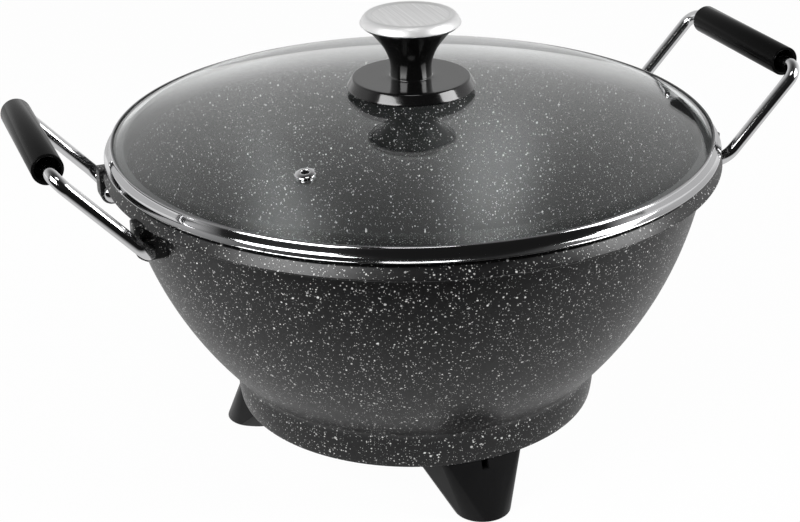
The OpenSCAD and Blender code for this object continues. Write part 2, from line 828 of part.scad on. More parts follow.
// One ring above the glass and one below it, joined by a sleeve through the hole
module knob_gasket() {
    color([0.12, 0.12, 0.12])
    difference() {
        union() {
            translate([0, 0, glass_top])
                cylinder(r = 14, h = gasket_h);
            translate([0, 0, under_z - gasket_h])
                cylinder(r = 9, h = gasket_h);
            translate([0, 0, under_z - gasket_h])
                cylinder(r = knob_hole_r - 0.1, h = glass_top - under_z + 2 * gasket_h);
        }
        translate([0, 0, glass_top - 20])
            cylinder(r = knob_screw_r + 0.1, h = 40);
    }
}

wok_bowl();
heating_element();
terminal_pins();
terminal_insulators();
probe_tube();
earth_contact();
connector_shroud();
shroud_screws();
base_plate();
leg_front();
leg_rear_left();
leg_rear_right();
leg_screws();
handle_left();
handle_right();
grip_left();
grip_right();
lid_glass();
lid_rim();
vent_grommet();
knob();
knob_cap();
knob_insert();
knob_screw();
knob_washer();
knob_gasket();
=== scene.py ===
import math
import bmesh
import bpy
from mathutils import Matrix, Quaternion, Vector


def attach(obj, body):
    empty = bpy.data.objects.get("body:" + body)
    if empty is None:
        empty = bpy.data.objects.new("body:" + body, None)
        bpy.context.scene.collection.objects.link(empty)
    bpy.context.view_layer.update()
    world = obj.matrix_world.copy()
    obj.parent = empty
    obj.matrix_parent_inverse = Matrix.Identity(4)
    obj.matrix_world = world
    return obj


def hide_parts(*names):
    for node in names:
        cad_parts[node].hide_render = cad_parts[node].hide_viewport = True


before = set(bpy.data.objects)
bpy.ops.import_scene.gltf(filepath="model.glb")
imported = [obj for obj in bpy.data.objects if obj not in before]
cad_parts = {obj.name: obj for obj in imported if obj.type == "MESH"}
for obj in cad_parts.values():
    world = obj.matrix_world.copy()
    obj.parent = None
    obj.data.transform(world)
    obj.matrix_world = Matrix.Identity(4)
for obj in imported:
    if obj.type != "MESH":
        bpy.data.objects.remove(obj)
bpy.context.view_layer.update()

mm = 0.001
turnX = Matrix.Rotation(math.radians(90), 4, "X")
flipX = Matrix.Diagonal((-1, 1, 1, 1))
flipY = Matrix.Diagonal((1, -1, 1, 1))


# ---- small tools for meshes ----

class Outline:
    # A half section in the XZ plane, in millimetres, that is then turned round Z
    def __init__(self, x, z):
        self.bm = bmesh.new()
        self.start = self.tip = self.bm.verts.new((x * mm, 0, z * mm))

    def to(self, *points):
        for x, z in points:
            made = bmesh.ops.extrude_vert_indiv(self.bm, verts=[self.tip])
            self.tip = made["verts"][0]
            self.tip.co = (x * mm, 0, z * mm)
        return self

    def arc(self, x, z, turn, steps=6):
        made = bmesh.ops.spin(self.bm, geom=[self.tip], cent=(x * mm, 0, z * mm), axis=(0, -1, 0),
                              dvec=(0, 0, 0), angle=math.radians(turn), steps=steps, use_duplicate=False)
        self.tip = [v for v in made["geom_last"] if isinstance(v, bmesh.types.BMVert)][0]
        return self

    def close(self):
        self.bm.edges.new((self.tip, self.start))
        return self

    def turned(self, steps=192):
        bmesh.ops.spin(self.bm, geom=self.bm.verts[:] + self.bm.edges[:], cent=(0, 0, 0), axis=(0, 0, 1),
                       dvec=(0, 0, 0), angle=math.tau, steps=steps, use_merge=True, use_duplicate=False)
        return tidy(self.bm)

    def pushed(self, depth):
        # fills the outline and extrudes it along +Y
        face = self.bm.faces.new(self.bm.verts[:])
        made = bmesh.ops.extrude_face_region(self.bm, geom=[face])
        moved = [v for v in made["geom"] if isinstance(v, bmesh.types.BMVert)]
        bmesh.ops.translate(self.bm, verts=moved, vec=(0, depth * mm, 0))
        return tidy(self.bm)


def tidy(bm):
    bmesh.ops.remove_doubles(bm, verts=bm.verts[:], dist=1e-6)
    bmesh.ops.dissolve_degenerate(bm, edges=bm.edges[:], dist=1e-7)
    bmesh.ops.recalc_face_normals(bm, faces=bm.faces[:])
    return bm


def soften(bm, width, above=25, segments=3):
    # bevels the edges that turn by more than a number of degrees
    sharp = [e for e in bm.edges if len(e.link_faces) == 2 and e.calc_face_angle(0) > math.radians(above)]
    bmesh.ops.bevel(bm, geom=sharp, offset=width * mm, offset_type="OFFSET", segments=segments, profile=0.5,
                    affect="EDGES", clamp_overlap=True, material=-1)
    return bm


def put(bm, matrix):
    bmesh.ops.transform(bm, matrix=matrix, verts=bm.verts[:])
    if matrix.determinant() < 0:
        bmesh.ops.reverse_faces(bm, faces=bm.faces[:])
    return bm


def block(low, high):
    bm = bmesh.new()
    bmesh.ops.create_cube(bm, size=1)
    low, high = Vector(low) * mm, Vector(high) * mm
    bmesh.ops.scale(bm, vec=high - low, verts=bm.verts[:])
    bmesh.ops.translate(bm, vec=(low + high) / 2, verts=bm.verts[:])
    return bm


def rod(r, length, at, toward=(0, 0, 1), segments=48, taper=1):
    bm = bmesh.new()
    bmesh.ops.create_cone(bm, cap_ends=True, segments=segments, radius1=r * mm, radius2=r * taper * mm,
                          depth=length * mm)
    turn = Vector((0, 0, 1)).rotation_difference(Vector(toward)).to_matrix().to_4x4()
    put(bm, Matrix.Translation(Vector(at) * mm) @ turn @ Matrix.Translation((0, 0, length / 2 * mm)))
    return bm


def merged(*parts):
    whole = bmesh.new()
    for part in parts:
        mesh = bpy.data.meshes.new("part")
        part.to_mesh(mesh)
        whole.from_mesh(mesh)
        bpy.data.meshes.remove(mesh)
    return whole


def copied(bm, matrix=Matrix.Identity(4)):
    return put(bm.copy(), matrix)


def asObject(name, bm, sharp=32):
    mesh = bpy.data.meshes.new(name)
    bm.to_mesh(mesh)
    mesh.polygons.foreach_set("use_smooth", [True] * len(mesh.polygons))
    mesh.set_sharp_from_angle(angle=math.radians(sharp))
    item = bpy.data.objects.new(name, mesh)
    bpy.context.scene.collection.objects.link(item)
    return item


def applied(item):
    # turns an object's modifiers into plain mesh
    deps = bpy.context.evaluated_depsgraph_get()
    mesh = bpy.data.meshes.new_from_object(item.evaluated_get(deps))
    item.modifiers.clear()
    item.data = mesh
    return item


def cut(bm, *cutters):
    body = asObject("cutBody", bm)
    tools = [asObject("cutter", c) for c in cutters]
    for tool in tools:
        step = body.modifiers.new("cut", "BOOLEAN")
        step.operation = "DIFFERENCE"
        step.solver = "EXACT"
        step.object = tool
    applied(body)
    done = bmesh.new()
    done.from_mesh(body.data)
    for item in [body] + tools:
        bpy.data.objects.remove(item)
    return done


def piece(name, bm, material, body, nodes, sharp=32, smooth=0):
    item = asObject(name, bm, sharp)
    if smooth:
        step = item.modifiers.new("smooth", "SUBSURF")
        step.levels = step.render_levels = smooth
    item.data.materials.append(material)
    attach(item, body)
    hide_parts(*nodes)
    return item


# ---- small tools for materials ----

class Value:
    # One output of a node; sums on it add Math nodes
    def __init__(self, tree, socket):
        self.tree = tree
        self.socket = socket

    def sum(self, operation, first, second=None):
        node = self.tree.nodes.new("ShaderNodeMath")
        node.operation = operation
        for socket, item in zip(node.inputs, (first, second)):
            if item is not None:
                feed(self.tree, socket, item)
        return Value(self.tree, node.outputs[0])

    def __add__(self, other): return self.sum("ADD", self, other)
    def __radd__(self, other): return self.sum("ADD", other, self)
    def __sub__(self, other): return self.sum("SUBTRACT", self, other)
    def __rsub__(self, other): return self.sum("SUBTRACT", other, self)
    def __mul__(self, other): return self.sum("MULTIPLY", self, other)
    def __rmul__(self, other): return self.sum("MULTIPLY", other, self)
    def __pow__(self, other): return self.sum("POWER", self, other)
    def __lt__(self, other): return self.sum("LESS_THAN", self, other)
    def larger(self, other): return self.sum("MAXIMUM", self, other)
    def clipped(self): return (self.larger(0)).sum("MINIMUM", self.larger(0), 1)


def feed(tree, socket, item):
    if isinstance(item, Value):
        tree.links.new(item.socket, socket)
    elif socket.type == "RGBA" and len(item) == 3:
        socket.default_value = (*item, 1)
    else:
        socket.default_value = item


class Shading:
    # A node tree with one method for any node
    def __init__(self, tree):
        self.tree = tree

    def node(self, kind, settings=None, inputs=None, out=0):
        node = self.tree.nodes.new("ShaderNode" + kind)
        for key, item in (settings or {}).items():
            if key == "stops":
                ramp = node.color_ramp.elements
                while len(ramp) < len(item):
                    ramp.new(0.5)
                for stop, (place, colour) in zip(ramp, item):
                    stop.position, stop.color = place, (*colour, 1)
            else:
                setattr(node, key, item)
        for key, item in (inputs or {}).items():
            feed(self.tree, node.inputs[key], item)
        return Value(self.tree, node.outputs[out])

    def place(self):
        return self.node("TexCoord", out="Object")

    def fromAxis(self):
        flat = self.node("VectorMath", {"operation": "MULTIPLY"}, {0: self.place(), 1: (1, 1, 0)})
        return self.node("VectorMath", {"operation": "LENGTH"}, {0: flat}, out="Value")

    def noise(self, scale, detail=2, rough=0.5):
        return self.node("TexNoise", inputs={"Vector": self.place(), "Scale": scale, "Detail": detail,
                                             "Roughness": rough}, out="Fac")

    def mix(self, factor, first, second):
        return self.node("Mix", {"data_type": "RGBA"}, {0: factor, 6: first, 7: second}, out=2)

    def ramp(self, value, *stops):
        return self.node("ValToRGB", {"stops": stops}, {"Fac": value})


class Finish(Shading):
    def __init__(self, name, **sockets):
        self.material = bpy.data.materials.new(name)
        self.material.use_nodes = True
        super().__init__(self.material.node_tree)
        self.shader = self.tree.nodes["Principled BSDF"]
        self.set(**sockets)

    def set(self, **sockets):
        for key, item in sockets.items():
            feed(self.tree, self.shader.inputs[key.replace("_", " ")], item)
        return self

    def blend(self, factor, other):
        # gives way to another shader where the factor is 1
        both = self.node("MixShader", inputs={0: factor, 1: Value(self.tree, self.shader.outputs[0]), 2: other})
        self.tree.links.new(both.socket, self.tree.nodes["Material Output"].inputs["Surface"])

    def bump(self, height, strength=0.3, depth=0.1):
        self.set(Normal=self.node("Bump", inputs={"Height": height, "Strength": strength,
                                                  "Distance": depth * mm}))
        return self


# ---- camera, floor and light ----

view = {"eye": (-0.34565, -0.89998, 0.55206), "target": (-0.00769, 0.00288, 0.11086),
        "roll": -1.0483, "lens": 80.648}
camera = bpy.data.objects.new("camera", bpy.data.cameras.new("camera"))
bpy.context.scene.collection.objects.link(camera)
aim = (Vector(view["target"]) - Vector(view["eye"])).to_track_quat("-Z", "Y")
camera.matrix_world = Matrix.LocRotScale(Vector(view["eye"]),
                                         aim @ Quaternion((0, 0, 1), math.radians(view["roll"])), None)
camera.data.lens = view["lens"]
camera.data.clip_end = 50
bpy.context.scene.camera = camera
bpy.context.scene.view_settings.view_transform = "Standard"

studio = {"cameraSide": 0.012, "sideEdge": 0.05, "sideRate": 2.6,
          "floorGlow": 0.97, "floorNear": 0.6, "floorFar": 0.008, "farEdge": 0.18, "farRate": 6,
          "floorColour": (0.88, 0.88, 0.88),
          "backdrop": [(0.0, 1.0), (0.08, 0.92), (0.2, 0.62), (0.34, 0.56), (0.45, 0.55), (0.6, 0.42),
                       (0.78, 0.2), (1.0, 0.03)]}
towardCamera = (-0.359, -0.933, 0)


def rays(shading, *kinds):
    # 1 for the named kinds of ray
    path = [shading.node("LightPath", out="Is " + kind + " Ray") for kind in kinds]
    total = path[0]
    for other in path[1:]:
        total = total.larger(other)
    return total


def makeWorld():
    world = bpy.data.worlds.new("studio")
    bpy.context.scene.world = world
    world.use_nodes = True
    sky = Shading(world.node_tree)
    backing = world.node_tree.nodes["Background"]
    toward = sky.node("TexCoord", out="Generated")
    side = sky.node("VectorMath", {"operation": "DOT_PRODUCT"},
                    {0: toward, 1: towardCamera}, out="Value")
    height = sky.node("SeparateXYZ", inputs={0: toward}, out="Z")
    # a white backdrop that darkens upwards, and a dark studio on the camera's side
    paper = sky.ramp(height, *[(at, (level,) * 3) for at, level in studio["backdrop"]])
    front = ((side + studio["sideEdge"]) * studio["sideRate"]).clipped()
    mirrored = paper * (1 - front) + front * studio["cameraSide"]
    feed(sky.tree, backing.inputs["Color"], (1, 1, 1))
    # white where it is seen straight or through the glass, but not after a bounce
    bounces = sky.node("LightPath", out="Diffuse Depth") + sky.node("LightPath", out="Glossy Depth")
    straight = rays(sky, "Camera", "Transmission") * (1 - bounces.clipped())
    feed(sky.tree, backing.inputs["Strength"], mirrored.larger(straight))


def makeFloor():
    bm = bmesh.new()
    bmesh.ops.create_grid(bm, x_segments=1, y_segments=1, size=12)
    floor = asObject("floor", bm)
    look = Finish("floor", Base_Color=studio["floorColour"], Roughness=0.9)
    # mirrored in the object, the floor is white beside it and dark in front of it
    ahead = look.node("VectorMath", {"operation": "DOT_PRODUCT"},
                      {0: look.place(), 1: towardCamera}, out="Value")
    far = ((ahead - studio["farEdge"]) * studio["farRate"]).clipped()
    glossy = rays(look, "Glossy")
    mirrored = far * (studio["floorFar"] - studio["floorNear"]) + studio["floorNear"]
    glow = look.node("Emission", inputs={"Color": (1, 1, 1), "Strength": glossy * mirrored + (1 - glossy)})
    straight = rays(look, "Camera", "Transmission") * studio["floorGlow"]
    look.blend(glossy.larger(straight), glow)
    floor.data.materials.append(look.material)


def makeLamp(name, at, target, size, power):
    lamp = bpy.data.lights.new(name, "AREA")
    lamp.shape = "RECTANGLE"
    lamp.size, lamp.size_y = size
    lamp.energy = power
    item = bpy.data.objects.new(name, lamp)
    bpy.context.scene.collection.objects.link(item)
    item.location = at
    item.rotation_euler = (Vector(target) - Vector(at)).to_track_quat("-Z", "Y").to_euler()


makeWorld()
makeFloor()
makeLamp("topLamp", (-0.15, -0.5, 1.75), (0, 0, 0.15), (0.5, 0.35), 2.5)
makeLamp("leftLamp", (-1.32, -0.61, 0.95), (0, 0, 0.15), (1.05, 0.9), 25)
makeLamp("rightLamp", (1.22, -0.79, 0.9), (0, 0, 0.15), (0.75, 1.0), 19)
print("studio ready")


# ---- materials ----

coatLook = {"dark": (0.004, 0.004, 0.0042), "light": (0.011, 0.011, 0.0115), "fleck": (0.8, 0.8, 0.79),
            "rough": 0.32}


def stoneCoat():
    look = Finish("stoneCoat", IOR=1.46)
    place = look.place()
    wobble = look.node("TexNoise", inputs={"Vector": place, "Scale": 700, "Detail": 2}, out="Color")
    shift = look.node("VectorMath", {"operation": "MULTIPLY_ADD"},
                      {0: wobble, 1: (0.0009, 0.0009, 0.0009), 2: place})
    base = look.ramp(look.noise(420, detail=4, rough=0.75), (0.32, coatLook["dark"]), (0.72, coatLook["light"]))

    def flecks(cell, share, least, most):
        # grains scattered through space; the surface cuts them
        cellAt = {"feature": "F1", "distance": "EUCLIDEAN"}
        links = {"Vector": shift, "Scale": 1 / (cell * mm), "Randomness": 1.0}
        away = look.node("TexVoronoi", cellAt, links, out="Distance")
        grain = look.node("TexVoronoi", cellAt, links, out="Color")
        luck, size, tone = [look.node("SeparateColor", inputs={0: grain}, out=i) for i in range(3)]
        reach = (size ** 2) * (most - least) + least
        return (luck < share) * ((reach - away) * 16).clipped() * (tone * 0.6 + 0.4)

    fine = flecks(0.95, 0.55, 0.12, 0.38)
    middling = flecks(1.9, 0.5, 0.12, 0.34)
    large = flecks(4.6, 0.55, 0.08, 0.2)
    mask = fine.larger(middling).larger(large)
    look.set(Base_Color=look.mix(mask, base, coatLook["fleck"]),
             Roughness=look.noise(300, detail=3) * 0.14 + (coatLook["rough"] - 0.07))
    grain = look.noise(1500, detail=3, rough=0.65)
    look.bump(grain + mask * 0.5, 0.35, 0.08)
    return look.material


def metal(name, colour, rough, waves=0.0):
    look = Finish(name, Base_Color=colour, Metallic=1.0)
    smear = look.noise(40, detail=3)
    look.set(Roughness=smear * rough * 0.5 + rough * 0.75)
    look.bump(look.noise(120, detail=2), waves, 0.05)
    return look.material


def moulded(name, colour, rough, grain, depth=0.02, coat=0.0, bend=1.5):
    look = Finish(name, IOR=bend)
    if coat:
        look.set(Coat_Weight=coat, Coat_Roughness=0.03)
    tint = look.noise(60, detail=3)
    look.set(Base_Color=look.mix(tint, colour, tuple(c * 1.35 for c in colour)),
             Roughness=look.noise(90, detail=3) * rough * 0.3 + rough * 0.85)
    look.bump(look.noise(grain, detail=2), 0.3, depth)
    return look.material


def clearGlass():
    look = Finish("clearGlass", Base_Color=(0.95, 0.97, 0.965), Roughness=0.0, IOR=1.5,
                  Transmission_Weight=1.0)
    look.bump(look.noise(14, detail=1), 0.03, 0.3)
    shadow = look.node("LightPath", out="Is Shadow Ray")
    clear = look.node("BsdfTransparent", inputs={"Color": (0.95, 0.96, 0.96)})
    look.blend(shadow, clear)
    return look.material


capLook = {"faceR": 0.0216, "brushing": (1000, 16, 16), "faceRough": 0.34, "bevelRough": 0.42,
           "dark": (0.82, 0.82, 0.82), "light": (1, 1, 1)}


def brushedCap():
    look = Finish("brushedCap", Metallic=0.65)
    along = look.node("Mapping", inputs={"Vector": look.place(), "Scale": capLook["brushing"]})
    lines = look.node("TexNoise", inputs={"Vector": along, "Scale": 1.0, "Detail": 3})
    face = look.fromAxis() < capLook["faceR"]
    # the face is brushed across, the bevel is turned
    look.set(Roughness=face * (capLook["faceRough"] + lines * 0.2) + (1 - face) * capLook["bevelRough"],
             Base_Color=look.mix(((lines - 0.35) * 3).clipped() * face, capLook["dark"], capLook["light"]))
    look.bump(lines * face, 0.3, 0.03)
    return look.material


# the inside colour is painted shade on the steel under the glass, not the steel's own tone
rimLook = {"insideR": 0.1702, "inside": (0.14, 0.14, 0.142), "outside": (0.66, 0.66, 0.67)}


def rolledSteel():
    # polished outside; on the shelf and skirt under the glass it is rougher and its colour is darkened as painted
    # shade
    look = Finish("rimSteel", Metallic=1.0)
    outside = ((look.fromAxis() - rimLook["insideR"]) * 1500).clipped()
    # inside insideR the base colour drops to the dark painted shade colour
    look.set(Base_Color=look.mix(outside, rimLook["inside"], rimLook["outside"]),
             Roughness=look.noise(60, detail=2) * 0.03 + 0.3 - outside * 0.22)
    look.bump(look.noise(120, detail=2), 0.02, 0.05)
    return look.material


coat = stoneCoat()
chrome = metal("chrome", (0.84, 0.84, 0.85), 0.1)
rimSteel = rolledSteel()
ventSteel = metal("ventSteel", (0.8, 0.8, 0.81), 0.07, 0.02)
sheathSteel = metal("sheathSteel", (0.3, 0.3, 0.31), 0.4, 0.2)
plateSteel = metal("plateSteel", (0.6, 0.6, 0.61), 0.3, 0.15)
screwSteel = metal("screwSteel", (0.66, 0.66, 0.68), 0.25, 0.1)
brass = metal("brass", (0.72, 0.5, 0.2), 0.25, 0.1)
gripPlastic = moulded("gripPlastic", (0.003, 0.003, 0.003), 0.12, 900, 0.01, bend=1.13)
legPlastic = moulded("legPlastic", (0.006, 0.006, 0.0063), 0.34, 1600, 0.05, bend=1.28)
knobPlastic = moulded("knobPlastic", (0.003, 0.003, 0.003), 0.14, 500, 0.005, 0.5)
shroudPlastic = moulded("shroudPlastic", (0.02, 0.02, 0.02), 0.5, 1200, 0.05)
gasketRubber = moulded("gasketRubber", (0.05, 0.05, 0.05), 0.6, 800, 0.03)
ceramic = moulded("ceramic", (0.72, 0.69, 0.62), 0.6, 1400, 0.04)
glass = clearGlass()
capSteel = brushedCap()
print("materials ready")


# ---- bowl ----

bowl = {"rimHeight": 185.3, "rimR": 176, "wallX": -54.836, "wallZ": 208.3, "wallR": 224.02, "wall": 3.5,
        "floorTop": 43.8, "floorUnder": 39.3, "seat": 186.3, "ringR": 107, "ringLow": 33, "ringInner": 103,
        "coveR": 8, "tuck": 1.2, "ribIn": 56.5, "ribOut": 67.5, "ribLow": 37.5, "screwR": 94}
lug = {"x": 167.9, "z": 167.3, "inner": 37, "outer": 47.5, "round": 6.6, "top": 14.5, "bore": 3.8, "stop": 4,
       "stopR": 5.2, "tilt": 47.6}


def angleAt(z, r):
    return math.degrees(math.asin((z - bowl["wallZ"]) / r))


def onWall(z, r):
    return (bowl["wallX"] + r * math.cos(math.radians(angleAt(z, r))), z)


def polar(x, z, r, degrees):
    return (x + r * math.cos(math.radians(degrees)), z + r * math.sin(math.radians(degrees)))


def bowlShell():
    b = bowl
    inner, outer = b["wallR"] - b["wall"], b["wallR"]
    rim, low = b["rimHeight"], b["rimHeight"] - 5.6
    coveX, span = b["ringR"] + b["coveR"], b["wallR"] + b["coveR"]
    coveZ = b["wallZ"] - math.sqrt(span ** 2 - (coveX - b["wallX"]) ** 2)
    coveAngle = math.degrees(math.asin((coveZ - b["wallZ"]) / span))
    line = Outline(0, b["floorTop"]).to(onWall(b["floorTop"], inner))
    line.arc(b["wallX"], b["wallZ"], angleAt(b["seat"], inner) - angleAt(b["floorTop"], inner), 56)
    line.to((170, b["seat"]), polar(171.2, rim - 0.4, 1.2, 80)).arc(171.2, rim - 0.4, -60, 5)
    line.to(polar(175.2, low + 0.8, 0.8, 20)).arc(175.2, low + 0.8, -100, 6)
    line.to(polar(170.2, low - 3.2, 2.6, 95)).arc(170.2, low - 3.2, 85, 6)
    start = low - 3.5
    line.to(onWall(start, outer)).arc(b["wallX"], b["wallZ"], coveAngle - angleAt(start, outer), 56)
    line.arc(coveX, coveZ, -coveAngle, 8)
    mid = b["ringLow"] + 12
    line.to((b["ringR"], mid + 3), (b["ringR"], mid))
    line.to(*[(b["ringR"] - b["tuck"] * (t / 5) ** 2, mid - 12 * t / 5) for t in range(1, 6)])
    line.to((b["ringInner"], b["ringLow"]), (b["ringInner"], b["floorUnder"]), (0, b["floorUnder"]))
    return soften(line.turned(), 0.5, 40)


def cavity():
    b = bowl
    inner = b["wallR"] - b["wall"]
    line = Outline(0, b["floorTop"]).to(onWall(b["floorTop"], inner))
    line.arc(b["wallX"], b["wallZ"], angleAt(b["seat"], inner) - angleAt(b["floorTop"], inner), 56)
    line.to((onWall(b["seat"], inner)[0], 200), (0, 200))
    return line.turned()


def oneLug():
    p = lug
    line = Outline(-22, -p["round"]).to((0, -p["round"])).arc(0, 0, 90, 10)
    line.to((p["round"], p["top"]), (-22, p["top"])).close()
    body = soften(line.pushed(p["outer"] - p["inner"]), 0.8, 40)
    put(body, Matrix.Translation(Vector((p["x"], p["inner"], p["z"])) * mm))
    bore = rod(p["bore"], 30, (p["x"], p["inner"] - 10, p["z"]), (0, 1, 0))
    pocket = block((p["x"] - 4.15, p["outer"] - 4.5, p["z"] + 4.6),
                   (p["x"] + 3.75, p["outer"] + 2, p["z"] + 11.4))
    soften(pocket, 0.9, 40)
    stop = rod(p["stopR"], p["stop"] + 1, (0, 0, 0), (0, 1, 0))
    away = block((-20, -1, -4.05), (20, p["stop"] + 2, 20))
    stop = soften(cut(stop, away), 0.5, 40)
    put(stop, Matrix.Translation(Vector((p["x"], p["outer"] - 1, p["z"])) * mm)
        @ Matrix.Rotation(math.radians(-p["tilt"]), 4, "Y"))
    return merged(cut(body, bore, pocket), stop)


def rib():
    b, root = bowl, bowl["floorUnder"] + 0.2
    line = Outline(b["ribIn"], root)
    line.to((b["ribIn"], b["ribLow"]), (b["ribOut"], b["ribLow"]), (b["ribOut"], root)).close()
    return soften(line.turned(96), 0.6, 40)


def makeBowl():
    one = oneLug()
    lugs = merged(one, copied(one, flipX), copied(one, flipY), copied(one, flipX @ flipY))
    lugs = cut(lugs, cavity())
    window = block((-23.3, 100.2, 30), (23.3, 122, 46.9))
    shell = cut(bowlShell(), window)
    bosses = [put(rod(7, 5.6, (bowl["screwR"], 0, 33.8)), Matrix.Rotation(math.radians(angle), 4, "Z"))
              for angle in (270, 150, 30)]
    bridge = block((-25, 40, 36), (25, 72, 39.3))
    whole = merged(shell, lugs, cut(rib(), bridge), *bosses)
    piece("castBowl", whole, coat, "base", ["wok_bowl"], 30)
    print("bowl ready")


makeBowl()


# ---- legs ----

leg = {"angles": {"leg_front": 270, "leg_rear_left": 150, "leg_rear_right": 30}, "outer": 105.8, "top": 33,
       "faceWidth": 49.6, "faceRound": 5, "backWidth": 69, "backAt": 80, "backRound": 6,
       "footAt": 100.5, "footLength": 36.2, "footWidth": 32.6, "footRound": 16.2, "edge": 0.6}


def makeLeg(node, angle):
    p = leg
    bm = bmesh.new()

    def disc(x, y, z, r):
        spot = Matrix.Translation(Vector((x, y, z)) * mm)
        bmesh.ops.create_circle(bm, segments=64, radius=r * mm, matrix=spot)

    reach = p["outer"] - p["faceRound"]
    half = math.asin((p["faceWidth"] / 2 - p["faceRound"]) / reach)
    for step in range(-3, 4):
        turn = half * step / 3
        disc(reach * math.cos(turn), reach * math.sin(turn), p["top"], p["faceRound"])
    for side in (-1, 1):
        disc(p["backAt"] - p["backRound"], side * (p["backWidth"] / 2 - p["backRound"]), p["top"], p["backRound"])
        for end in (-1, 1):
            x = p["footAt"] + end * (p["footLength"] / 2 - p["footRound"])
            y = side * (p["footWidth"] / 2 - p["footRound"])
            for rise in (0, 0.3, 0.7, 1):
                disc(x, y, rise * p["edge"], p["footRound"] - p["edge"] * (1 - rise) ** 2)
    bmesh.ops.convex_hull(bm, input=bm.verts[:])
    loose = [v for v in bm.verts if not v.link_faces]
    bmesh.ops.delete(bm, geom=loose, context="VERTS")
    tidy(bm)
    bmesh.ops.dissolve_limit(bm, angle_limit=math.radians(0.6), verts=bm.verts[:], edges=bm.edges[:])
    notch = block((p["outer"] - 4, -2, p["top"] - 5), (p["outer"] + 4, 2, p["top"] + 1))
    tunnel = rod(5, 24, (bowl["screwR"], 0, -0.1))
    body = cut(bm, notch, tunnel)
    put(body, Matrix.Rotation(math.radians(angle), 4, "Z"))
    piece(node.replace("_", "") + "Body", body, legPlastic, "base", [node], 28)


for legNode, legAngle in leg["angles"].items():
    makeLeg(legNode, legAngle)
print("legs ready")


# ---- handles ----

bail = {"reach": 70.6, "armY": 60.5, "wire": 3.75, "low": 12, "high": 9, "headR": 4.95, "headLength": 3.6,
        "headAt": 36.7}
grip = {"half": 46, "r": 8.5, "cup": 12, "wall": 1.6}


def bailWire():
    p = bail
    bm = bmesh.new()
    made = bmesh.ops.create_circle(bm, segments=40, radius=p["wire"] * mm, matrix=turnX)
    bmesh.ops.translate(bm, vec=(0, (p["headAt"] - 2) * mm, 0), verts=made["verts"])
    edges = bm.edges[:]

    def push(edges, x, y):
        grown = bmesh.ops.extrude_edge_only(bm, edges=edges)["geom"]
        ends = [g for g in grown if isinstance(g, bmesh.types.BMVert)]
        bmesh.ops.translate(bm, vec=(x * mm, y * mm, 0), verts=ends)
        return [g for g in grown if isinstance(g, bmesh.types.BMEdge) and len(g.link_faces) == 1]

    def bend(edges, x, y, turn, steps):
        grown = bmesh.ops.spin(bm, geom=edges, cent=(x * mm, y * mm, 0), axis=(0, 0, 1), dvec=(0, 0, 0),
                               angle=math.radians(turn), steps=steps, use_duplicate=False)["geom_last"]
        return [g for g in grown if isinstance(g, bmesh.types.BMEdge)]

    low, high = p["armY"] - p["low"], p["armY"] - p["high"]
    straight = p["reach"] - p["low"] - p["high"]
    edges = push(edges, 0, low - p["headAt"] + 2)
    edges = bend(edges, p["low"], low, -90, 16)
    edges = push(edges, straight, 0)
    edges = bend(edges, p["reach"] - p["high"], high, -90, 14)
    edges = push(edges, 0, -2 * high)
    edges = bend(edges, p["reach"] - p["high"], -high, -90, 14)
    edges = push(edges, -straight, 0)
    edges = bend(edges, p["low"], -low, -90, 16)
    push(edges, 0, low - p["headAt"] + 2)
    bmesh.ops.holes_fill(bm, edges=[e for e in bm.edges if e.is_boundary], sides=60)
    tidy(bm)
    line = Outline(0, 0).to((p["headR"] - 0.3, 0), (p["headR"], 0.3), (p["headR"], 0.9))
    line.to(*[(p["headR"] * math.cos(a * math.pi / 20), 0.9 + (p["headLength"] - 0.9) * math.sin(a * math.pi / 20))
              for a in range(1, 11)])
    head = line.turned(48)
    put(head, Matrix.Translation((0, p["headAt"] * mm, 0)) @ turnX)
    return merged(bm, head, copied(head, flipY))


def bailGrip():
    p = grip
    hole, bore = p["r"] - p["wall"], bail["wire"] + 0.05
    line = Outline(bore, p["cup"] - p["half"]).to((hole, p["cup"] - p["half"]), (hole, -p["half"]))
    line.to((p["r"], -p["half"]), (p["r"], p["half"]), (hole, p["half"]))
    line.to((hole, p["half"] - p["cup"]), (bore, p["half"] - p["cup"])).close()
    bm = soften(line.turned(64), 0.55, 40, 4)
    return put(bm, Matrix.Translation((bail["reach"] * mm, 0, 0)) @ turnX)


def makeHandles():
    tilted = Matrix.Translation(Vector((lug["x"], 0, lug["z"])) * mm) @ Matrix.Rotation(
        math.radians(-lug["tilt"]), 4, "Y")
    for side, turn in (("right", 0), ("left", 180)):
        seat = Matrix.Rotation(math.radians(turn), 4, "Z") @ tilted
        body = side + "_handle"
        piece(side + "Wire", put(bailWire(), seat), chrome, body, ["handle_" + side], 40)
        piece(side + "Grip", put(bailGrip(), seat), gripPlastic, body, ["grip_" + side], 35)


makeHandles()
print("handles ready")


# ---- lid ----

lid = {"edgeZ": 194.8, "glassR": 170.8, "domeR": 670, "bendR": 30, "slope": 35, "thick": 4,
       "bandR": 172, "sheet": 0.9, "skirtR": 163.77, "skirtLow": 181.8, "seamAngle": 224}
bendIn = math.degrees(math.asin((lid["glassR"] - lid["bendR"] * math.sin(math.radians(lid["slope"])))
                                / (lid["domeR"] - lid["bendR"])))
crown = lid["edgeZ"] + lid["domeR"] - (lid["domeR"] - lid["bendR"]) * math.cos(math.radians(bendIn)) \
    - lid["bendR"] * math.cos(math.radians(lid["slope"]))
domeZ = crown - lid["domeR"]
vent = {"r": 118, "angle": 221, "outer": 5.7, "hole": 2.3, "neck": 4.0}


def ventSeat():
    slope = math.asin(vent["r"] / lid["domeR"])
    height = domeZ + math.sqrt(lid["domeR"] ** 2 - vent["r"] ** 2)
    return (Matrix.Rotation(math.radians(vent["angle"]), 4, "Z")
            @ Matrix.Translation(Vector((vent["r"], 0, height)) * mm) @ Matrix.Rotation(slope, 4, "Y"))


